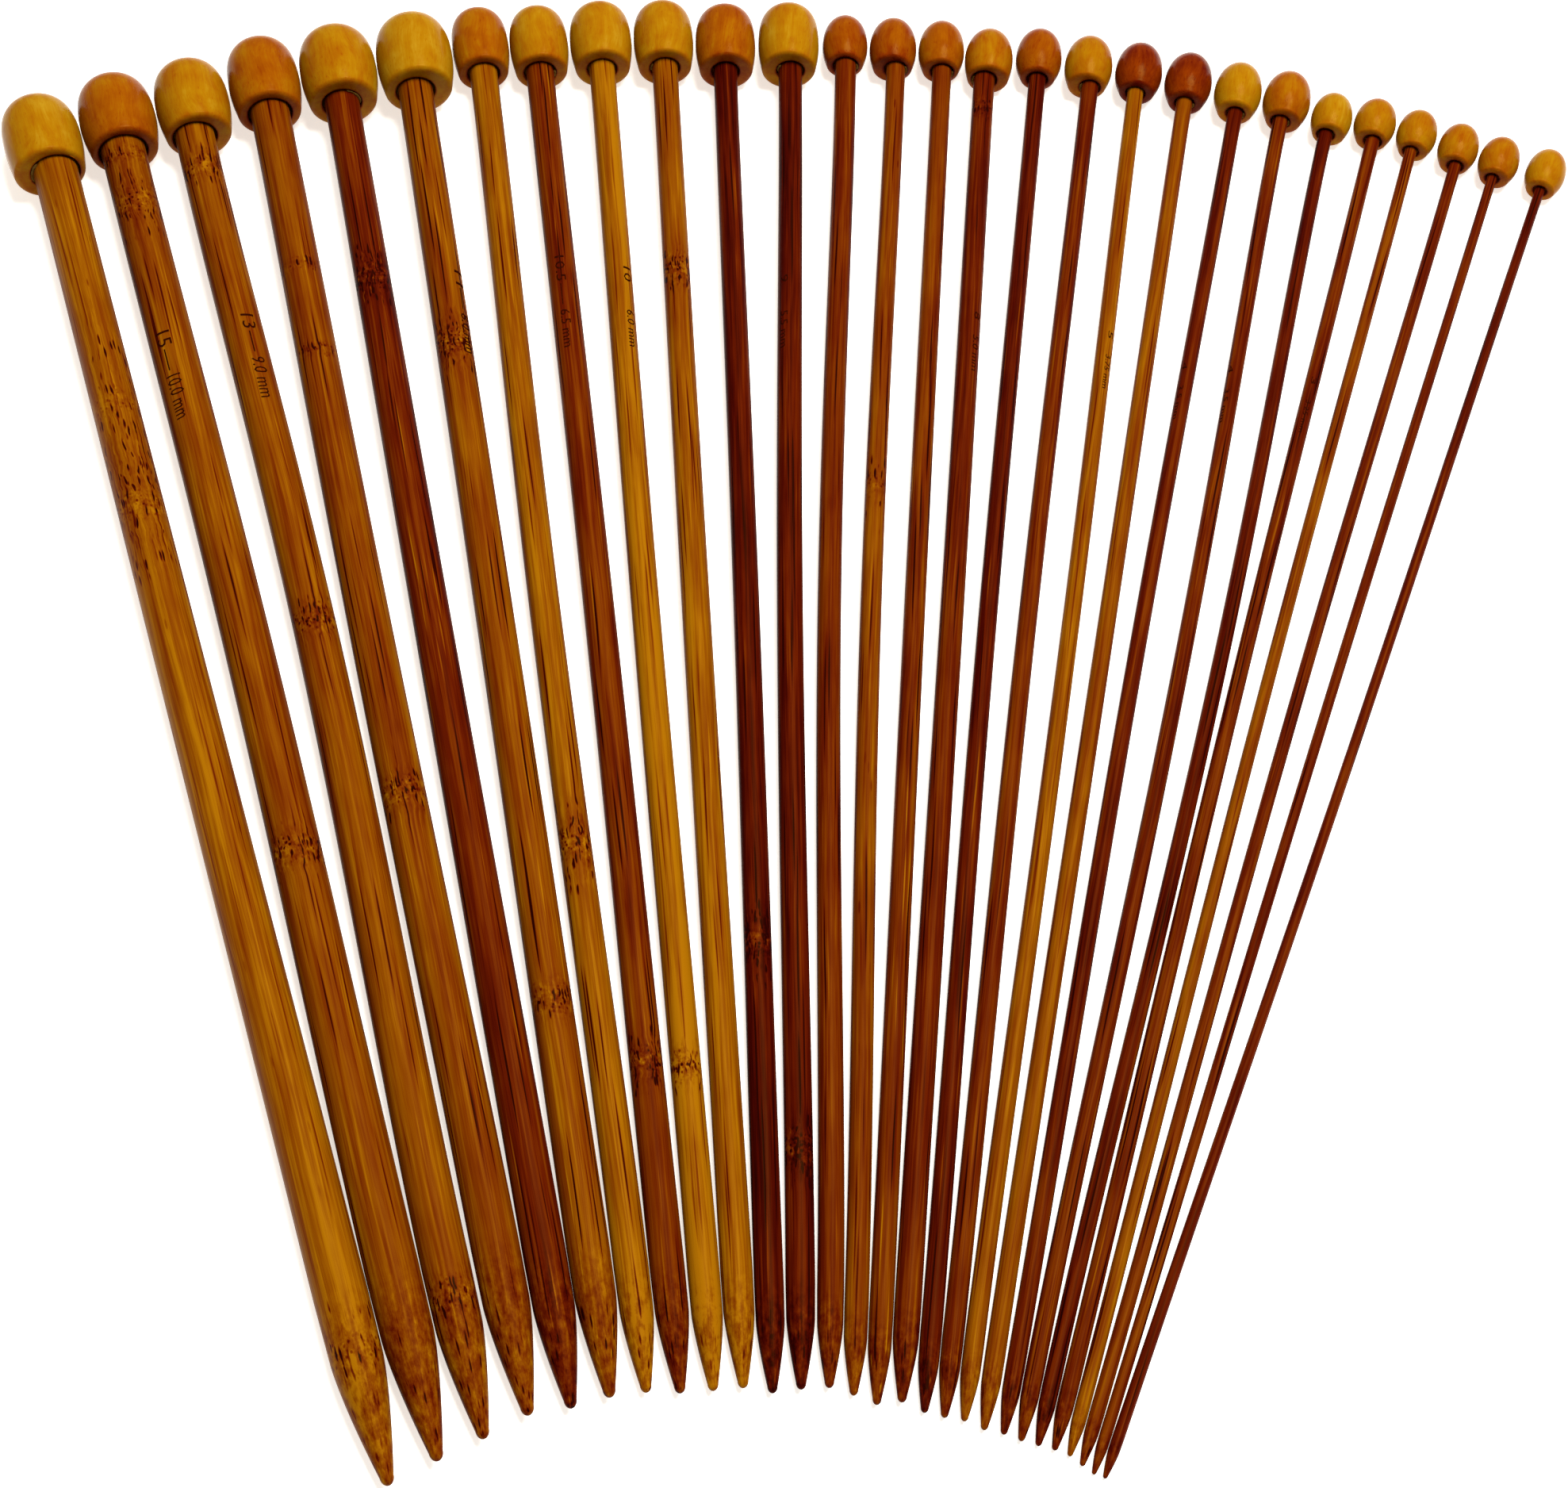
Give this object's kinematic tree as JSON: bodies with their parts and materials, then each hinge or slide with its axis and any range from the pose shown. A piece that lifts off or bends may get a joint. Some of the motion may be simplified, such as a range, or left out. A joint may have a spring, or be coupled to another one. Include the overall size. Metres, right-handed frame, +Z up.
{
  "type": "straight knitting needles",
  "caption": "Straight bamboo knitting needles with tapered points and turned wooden knobs, laid side by side in a fan from the thickest pair to the thinnest.",
  "frame": {"origin": "on the table, at the middle of the fan's bounding box", "axes": "+Z up from the table the needles lie on, +Y towards the knobs, +X from the thickest needles to the thinnest"},
  "size_m": [0.3616, 0.3502, 0.0177],
  "materials": {
    "bamboo_pale": "carbonised bamboo, light golden brown, sanded and waxed",
    "bamboo_mid": "carbonised bamboo, mid brown, sanded and waxed",
    "bamboo_dark": "carbonised bamboo, dark red-brown, sanded and waxed",
    "knob_honey": "turned hardwood, honey satin varnish",
    "knob_amber": "turned hardwood, amber satin varnish",
    "knob_red": "turned hardwood, red-brown satin varnish"
  },
  "bodies": {
    "needle_10mm_a": {"shaft_10mm_a": "bamboo_mid", "knob_10mm_a": "knob_honey"},
    "needle_10mm_b": {"shaft_10mm_b": "bamboo_mid", "knob_10mm_b": "knob_honey"},
    "needle_9mm_a": {"shaft_9mm_a": "bamboo_mid", "knob_9mm_a": "knob_honey"},
    "needle_9mm_b": {"shaft_9mm_b": "bamboo_pale", "knob_9mm_b": "knob_honey"},
    "needle_8mm_a": {"shaft_8mm_a": "bamboo_dark", "knob_8mm_a": "knob_honey"},
    "needle_8mm_b": {"shaft_8mm_b": "bamboo_pale", "knob_8mm_b": "knob_honey"},
    "needle_6_5mm_a": {"shaft_6_5mm_a": "bamboo_pale", "knob_6_5mm_a": "knob_amber"},
    "needle_6_5mm_b": {"shaft_6_5mm_b": "bamboo_dark", "knob_6_5mm_b": "knob_honey"},
    "needle_6mm_a": {"shaft_6mm_a": "bamboo_pale", "knob_6mm_a": "knob_honey"},
    "needle_6mm_b": {"shaft_6mm_b": "bamboo_pale", "knob_6mm_b": "knob_honey"},
    "needle_5_5mm_a": {"shaft_5_5mm_a": "bamboo_dark", "knob_5_5mm_a": "knob_honey"},
    "needle_5_5mm_b": {"shaft_5_5mm_b": "bamboo_dark", "knob_5_5mm_b": "knob_honey"},
    "needle_5mm_a": {"shaft_5mm_a": "bamboo_mid", "knob_5mm_a": "knob_amber"},
    "needle_4_5mm_a": {"shaft_4_5mm_a": "bamboo_mid", "knob_4_5mm_a": "knob_amber"},
    "needle_4_5mm_b": {"shaft_4_5mm_b": "bamboo_mid", "knob_4_5mm_b": "knob_amber"},
    "needle_5mm_b": {"shaft_5mm_b": "bamboo_dark", "knob_5mm_b": "knob_honey"},
    "needle_4mm_a": {"shaft_4mm_a": "bamboo_dark", "knob_4mm_a": "knob_amber"},
    "needle_4mm_b": {"shaft_4mm_b": "bamboo_dark", "knob_4mm_b": "knob_honey"},
    "needle_3_75mm_a": {"shaft_3_75mm_a": "bamboo_pale", "knob_3_75mm_a": "knob_red"},
    "needle_3_75mm_b": {"shaft_3_75mm_b": "bamboo_mid", "knob_3_75mm_b": "knob_red"},
    "needle_3_5mm_a": {"shaft_3_5mm_a": "bamboo_dark", "knob_3_5mm_a": "knob_honey"},
    "needle_3_5mm_b": {"shaft_3_5mm_b": "bamboo_dark", "knob_3_5mm_b": "knob_honey"},
    "needle_3_25mm_a": {"shaft_3_25mm_a": "bamboo_dark", "knob_3_25mm_a": "knob_honey"},
    "needle_3_25mm_b": {"shaft_3_25mm_b": "bamboo_mid", "knob_3_25mm_b": "knob_honey"},
    "needle_2_75mm_a": {"shaft_2_75mm_a": "bamboo_mid", "knob_2_75mm_a": "knob_honey"},
    "needle_2_75mm_b": {"shaft_2_75mm_b": "bamboo_dark", "knob_2_75mm_b": "knob_honey"},
    "needle_2_25mm_a": {"shaft_2_25mm_a": "bamboo_mid", "knob_2_25mm_a": "knob_honey"},
    "needle_2_25mm_b": {"shaft_2_25mm_b": "bamboo_dark", "knob_2_25mm_b": "knob_honey"}
  },
  "joints": [
    {"name": "lift_10mm_b", "type": "slide", "parent": "needle_10mm_a", "child": "needle_10mm_b", "axis": [0, 0, 1], "range_m": [0, 0.05]},
    {"name": "lift_9mm_a", "type": "slide", "parent": "needle_10mm_a", "child": "needle_9mm_a", "axis": [0, 0, 1], "range_m": [0, 0.05]},
    {"name": "lift_9mm_b", "type": "slide", "parent": "needle_10mm_a", "child": "needle_9mm_b", "axis": [0, 0, 1], "range_m": [0, 0.05]},
    {"name": "lift_8mm_a", "type": "slide", "parent": "needle_10mm_a", "child": "needle_8mm_a", "axis": [0, 0, 1], "range_m": [0, 0.05]},
    {"name": "lift_8mm_b", "type": "slide", "parent": "needle_10mm_a", "child": "needle_8mm_b", "axis": [0, 0, 1], "range_m": [0, 0.05]},
    {"name": "lift_6_5mm_a", "type": "slide", "parent": "needle_10mm_a", "child": "needle_6_5mm_a", "axis": [0, 0, 1], "range_m": [0, 0.05]},
    {"name": "lift_6_5mm_b", "type": "slide", "parent": "needle_10mm_a", "child": "needle_6_5mm_b", "axis": [0, 0, 1], "range_m": [0, 0.05]},
    {"name": "lift_6mm_a", "type": "slide", "parent": "needle_10mm_a", "child": "needle_6mm_a", "axis": [0, 0, 1], "range_m": [0, 0.05]},
    {"name": "lift_6mm_b", "type": "slide", "parent": "needle_10mm_a", "child": "needle_6mm_b", "axis": [0, 0, 1], "range_m": [0, 0.05]},
    {"name": "lift_5_5mm_a", "type": "slide", "parent": "needle_10mm_a", "child": "needle_5_5mm_a", "axis": [0, 0, 1], "range_m": [0, 0.05]},
    {"name": "lift_5_5mm_b", "type": "slide", "parent": "needle_10mm_a", "child": "needle_5_5mm_b", "axis": [0, 0, 1], "range_m": [0, 0.05]},
    {"name": "lift_5mm_a", "type": "slide", "parent": "needle_10mm_a", "child": "needle_5mm_a", "axis": [0, 0, 1], "range_m": [0, 0.05]},
    {"name": "lift_4_5mm_a", "type": "slide", "parent": "needle_10mm_a", "child": "needle_4_5mm_a", "axis": [0, 0, 1], "range_m": [0, 0.05]},
    {"name": "lift_4_5mm_b", "type": "slide", "parent": "needle_10mm_a", "child": "needle_4_5mm_b", "axis": [0, 0, 1], "range_m": [0, 0.05]},
    {"name": "lift_5mm_b", "type": "slide", "parent": "needle_10mm_a", "child": "needle_5mm_b", "axis": [0, 0, 1], "range_m": [0, 0.05]},
    {"name": "lift_4mm_a", "type": "slide", "parent": "needle_10mm_a", "child": "needle_4mm_a", "axis": [0, 0, 1], "range_m": [0, 0.05]},
    {"name": "lift_4mm_b", "type": "slide", "parent": "needle_10mm_a", "child": "needle_4mm_b", "axis": [0, 0, 1], "range_m": [0, 0.05]},
    {"name": "lift_3_75mm_a", "type": "slide", "parent": "needle_10mm_a", "child": "needle_3_75mm_a", "axis": [0, 0, 1], "range_m": [0, 0.05]},
    {"name": "lift_3_75mm_b", "type": "slide", "parent": "needle_10mm_a", "child": "needle_3_75mm_b", "axis": [0, 0, 1], "range_m": [0, 0.05]},
    {"name": "lift_3_5mm_a", "type": "slide", "parent": "needle_10mm_a", "child": "needle_3_5mm_a", "axis": [0, 0, 1], "range_m": [0, 0.05]},
    {"name": "lift_3_5mm_b", "type": "slide", "parent": "needle_10mm_a", "child": "needle_3_5mm_b", "axis": [0, 0, 1], "range_m": [0, 0.05]},
    {"name": "lift_3_25mm_a", "type": "slide", "parent": "needle_10mm_a", "child": "needle_3_25mm_a", "axis": [0, 0, 1], "range_m": [0, 0.05]},
    {"name": "lift_3_25mm_b", "type": "slide", "parent": "needle_10mm_a", "child": "needle_3_25mm_b", "axis": [0, 0, 1], "range_m": [0, 0.05]},
    {"name": "lift_2_75mm_a", "type": "slide", "parent": "needle_10mm_a", "child": "needle_2_75mm_a", "axis": [0, 0, 1], "range_m": [0, 0.05]},
    {"name": "lift_2_75mm_b", "type": "slide", "parent": "needle_10mm_a", "child": "needle_2_75mm_b", "axis": [0, 0, 1], "range_m": [0, 0.05]},
    {"name": "lift_2_25mm_a", "type": "slide", "parent": "needle_10mm_a", "child": "needle_2_25mm_a", "axis": [0, 0, 1], "range_m": [0, 0.05]},
    {"name": "lift_2_25mm_b", "type": "slide", "parent": "needle_10mm_a", "child": "needle_2_25mm_b", "axis": [0, 0, 1], "range_m": [0, 0.05]}
  ]
}
